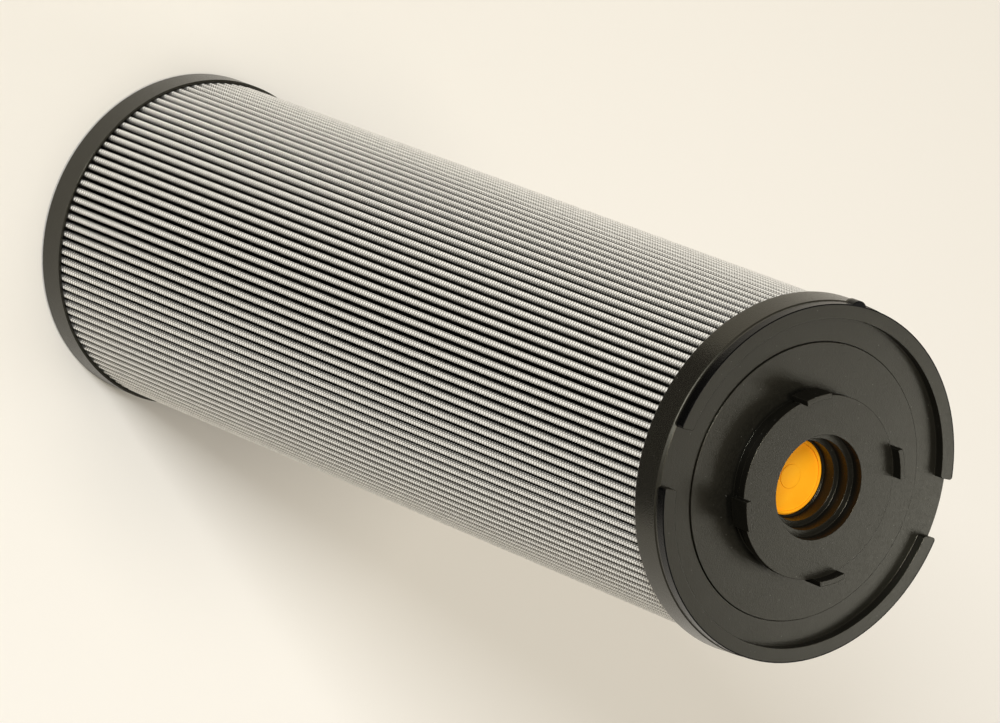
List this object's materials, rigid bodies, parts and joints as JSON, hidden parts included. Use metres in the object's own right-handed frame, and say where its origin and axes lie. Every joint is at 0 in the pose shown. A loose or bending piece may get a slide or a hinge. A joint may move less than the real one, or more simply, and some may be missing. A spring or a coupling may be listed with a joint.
{
  "type": "pleated filter element",
  "caption": "Cylindrical pleated filter element with moulded end caps, a lugged socket hub with a sprung bypass valve at one end and a sealed outlet bore at the other.",
  "frame": {"origin": "centre of the outlet cap's flat face", "axes": "+Z along the element's axis to the valve end, +X through the middle of a gap in the raised walls, -Y through the key"},
  "size_m": [0.13, 0.1307, 0.3993],
  "materials": {
    "cap_plastic": "satin",
    "poppet_plastic": "satin",
    "spring_steel": "satin",
    "wire_mesh": "satin",
    "medium": "matte",
    "core_steel": "satin",
    "potting": "matte",
    "seal_rubber": "matte"
  },
  "bodies": {
    "element": {"valve_end_cap": "cap_plastic", "outlet_cap": "cap_plastic", "valve_hub": "cap_plastic", "bypass_cage": "cap_plastic", "bypass_spring": "spring_steel", "outer_wire_mesh": "wire_mesh", "filter_medium": "medium", "support_core": "core_steel", "outlet_potting": "potting", "valve_end_potting": "potting", "outlet_o_ring": "seal_rubber"},
    "poppet": {"bypass_poppet": "poppet_plastic"}
  },
  "joints": [
    {"name": "bypass_slide", "type": "slide", "parent": "element", "child": "poppet", "axis": [0, 0, -1], "range_m": [0, 0.007], "stiffness_N_per_m": 1500, "springref_m": -0.008, "deforming": ["bypass_spring"]}
  ]
}
